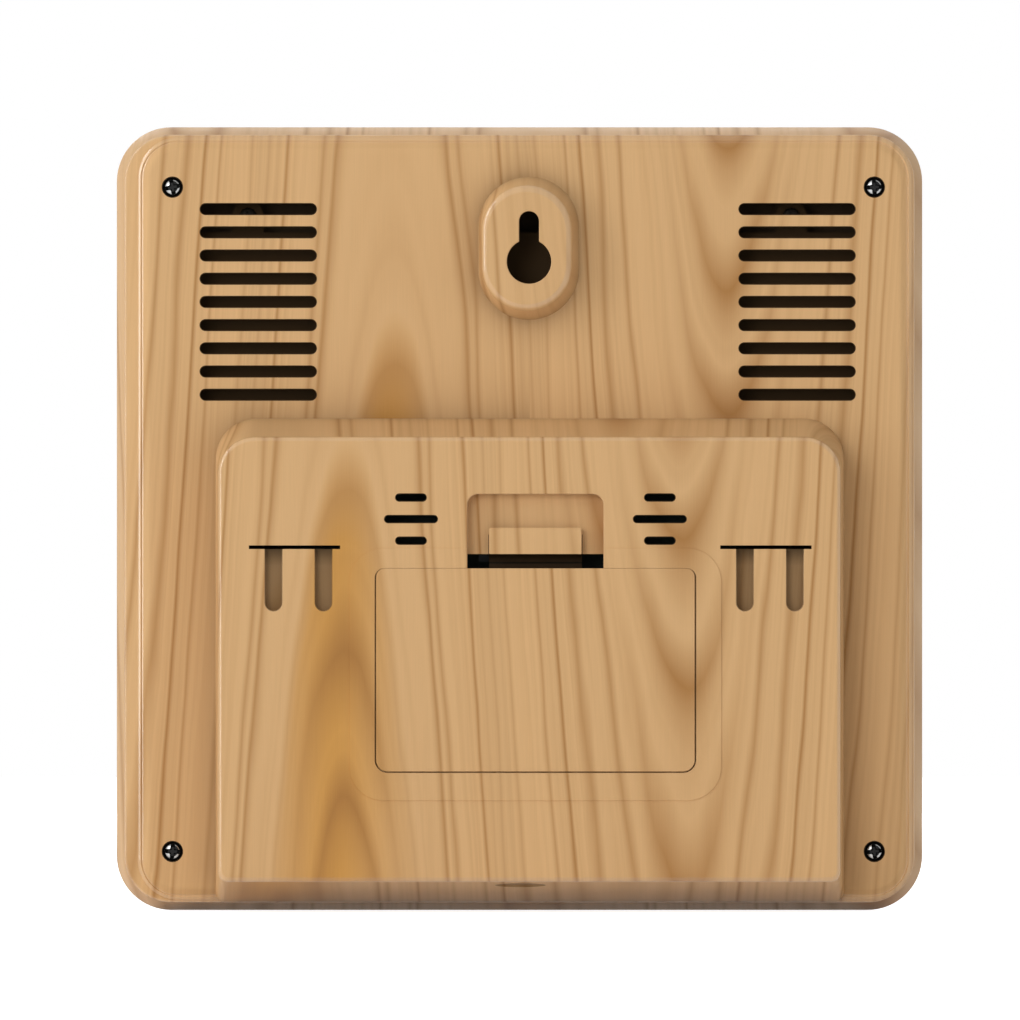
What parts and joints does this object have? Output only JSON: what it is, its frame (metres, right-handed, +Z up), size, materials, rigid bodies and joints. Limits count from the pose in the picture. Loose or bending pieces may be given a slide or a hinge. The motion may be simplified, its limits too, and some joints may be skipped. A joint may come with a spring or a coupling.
{
  "type": "weather station clock",
  "caption": "Table or wall weather clock with a tapered wood-grain housing, flat display window, keyhole hanger, vent slots and a latched battery door.",
  "frame": {"origin": "middle of the underside of the bounding box, on the surface the upright clock stands on", "axes": "+Z up; the display faces -Y and the battery side faces +Y; seen from behind, +X is on the left"},
  "size_m": [0.178, 0.038, 0.173],
  "materials": {
    "wood_grain": "satin plastic with a printed wood grain",
    "window": "clear, glossy",
    "tape": "dull black",
    "flex_film": "amber film",
    "lcd": "glossy display glass",
    "milky_sheet": "white",
    "circuit_board": "green solder mask",
    "black_plastic": "fine matte",
    "black_screw": "black zinc",
    "steel": "plated",
    "cell_sleeve": "plain shrink sleeve",
    "red_insulation": "plain"
  },
  "bodies": {
    "housing": {"front_frame": "wood_grain", "rear_cover": "wood_grain", "display_window": "window", "window_tape": "tape", "touch_sensor": "flex_film", "touch_ribbon": "flex_film", "lcd_ribbon": "flex_film", "lcd_panel": "lcd", "diffuser_sheet": "milky_sheet", "reflector_sheet": "milky_sheet", "light_guide": "window", "backlight_strip": "circuit_board", "display_tray": "black_plastic", "case_screw_1": "black_screw", "case_screw_2": "black_screw", "case_screw_3": "black_screw", "case_screw_4": "black_screw", "tray_screw_1": "steel", "tray_screw_2": "steel", "tray_screw_3": "steel", "tray_screw_4": "steel", "board_screw_1": "steel", "board_screw_2": "steel", "board_screw_3": "steel", "board_screw_4": "steel", "main_board": "circuit_board", "controller_chip": "black_plastic", "clock_crystal": "steel", "storage_capacitor": "black_plastic", "buzzer": "black_plastic", "radio_module": "circuit_board", "antenna_wire": "steel", "sensor_board": "circuit_board", "humidity_sensor": "milky_sheet", "sensor_cable": "tape", "battery_cell_1": "cell_sleeve", "battery_cell_2": "cell_sleeve", "battery_cell_3": "cell_sleeve", "contact_negative": "steel", "contact_bridge_upper": "steel", "contact_bridge_lower": "steel", "contact_positive": "steel", "battery_wire_negative": "tape", "battery_wire_positive": "red_insulation"},
    "door": {"battery_door": "wood_grain"},
    "latch": {"door_latch": "wood_grain"}
  },
  "joints": [
    {"name": "door_hinge", "type": "hinge", "parent": "housing", "child": "door", "pos_m": [-0.0035, 0.019, 0.0316], "axis": [-1, 0, 0], "range_deg": [0, 75]},
    {"name": "latch_press", "type": "hinge", "parent": "door", "child": "latch", "pos_m": [-0.0035, 0.0075, 0.07675], "axis": [-1, 0, 0], "range_deg": [0, 12], "stiffness_Nm_per_rad": 0.2}
  ]
}
